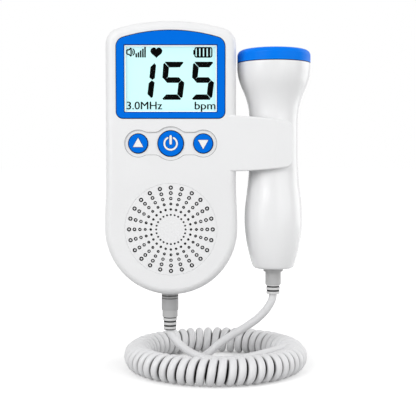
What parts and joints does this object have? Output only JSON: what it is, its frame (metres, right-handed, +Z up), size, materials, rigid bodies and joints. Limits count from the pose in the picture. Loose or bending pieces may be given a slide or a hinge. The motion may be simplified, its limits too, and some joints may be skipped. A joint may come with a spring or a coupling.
{
  "type": "fetal doppler monitor",
  "caption": "Hand-held ultrasound heartbeat monitor with a display, push buttons and a round speaker grille; a waisted probe rests in a side clip on a curly cord.",
  "frame": {"origin": "centre of the monitor's flat back face, below its battery door", "axes": "+Z up along the monitor and the probe, +Y out of the back face, +X from the display towards the probe; the display faces -Y"},
  "size_m": [0.1024, 0.0918, 0.1737],
  "materials": {
    "white_case": "glossy white ABS",
    "blue_trim": "glossy blue ABS",
    "blue_button": "satin blue ABS",
    "clear_lens": "clear acrylic",
    "lcd_glass": "glass stack with a pale cyan field",
    "light_guide": "milky diffuser",
    "circuit_board": "green solder mask",
    "black_chip": "matte black epoxy",
    "steel": "plain steel",
    "dust_cloth": "black woven cloth",
    "foam": "dark foam",
    "paper_cone": "black paper",
    "magnet": "dark ferrite",
    "cell_jacket": "printed jacket, left plain",
    "black_socket": "black nylon",
    "pale_lens": "smooth off-white",
    "silvered_ceramic": "silvered ceramic",
    "grey_rubber": "satin grey moulding",
    "nickel": "nickel plated",
    "cord_jacket": "satin light grey jacket",
    "white_plunger": "white nylon"
  },
  "bodies": {
    "monitor": {"front_shell": "white_case", "rear_shell": "white_case", "display_frame": "blue_trim", "display_window": "clear_lens", "lcd_panel": "lcd_glass", "lcd_backlight": "light_guide", "main_board": "circuit_board", "board_chips": "black_chip", "board_screws": "steel", "tact_switches": "black_chip", "speaker_grille": "white_case", "speaker_mesh": "dust_cloth", "speaker_gasket": "foam", "speaker_frame": "steel", "speaker_cone": "paper_cone", "speaker_magnet": "magnet", "battery_cells": "cell_jacket", "battery_springs": "steel", "battery_plates": "steel", "case_screws": "steel", "headphone_jack": "black_socket", "probe_socket": "black_socket", "plug_barrel": "nickel", "cord_plug": "grey_rubber", "plug_boot": "grey_rubber", "cord_coil": "cord_jacket", "cord_tail_monitor": "cord_jacket", "cord_tail_probe": "cord_jacket"},
    "up_button": {"button_up": "blue_button", "plunger_up": "white_plunger"},
    "power_button": {"button_power": "blue_button", "plunger_power": "white_plunger"},
    "down_button": {"button_down": "blue_button", "plunger_down": "white_plunger"},
    "battery_door": {"battery_door": "white_case"},
    "probe": {"probe_front_shell": "white_case", "probe_rear_shell": "white_case", "transducer_cap": "blue_trim", "acoustic_face": "pale_lens", "piezo_elements": "silvered_ceramic", "backing_block": "foam", "probe_board": "circuit_board", "probe_gland": "grey_rubber", "gland_boot": "grey_rubber"}
  },
  "joints": [
    {"name": "up_press", "type": "slide", "parent": "monitor", "child": "up_button", "axis": [0, 1, 0], "range_m": [0, 0.0006], "stiffness_N_per_m": 2500, "springref_m": -0.0002},
    {"name": "power_press", "type": "slide", "parent": "monitor", "child": "power_button", "axis": [0, 1, 0], "range_m": [0, 0.0006], "stiffness_N_per_m": 2500, "springref_m": -0.0002},
    {"name": "down_press", "type": "slide", "parent": "monitor", "child": "down_button", "axis": [0, 1, 0], "range_m": [0, 0.0006], "stiffness_N_per_m": 2500, "springref_m": -0.0002},
    {"name": "probe_release", "type": "slide", "parent": "monitor", "child": "probe", "axis": [1, 0, 0], "range_m": [0, 0.022], "deforming": ["cord_tail_probe"]},
    {"name": "door_swing", "type": "hinge", "parent": "monitor", "child": "battery_door", "pos_m": [0, 0, 0.0607], "axis": [1, 0, 0], "range_deg": [0, 70]}
  ]
}
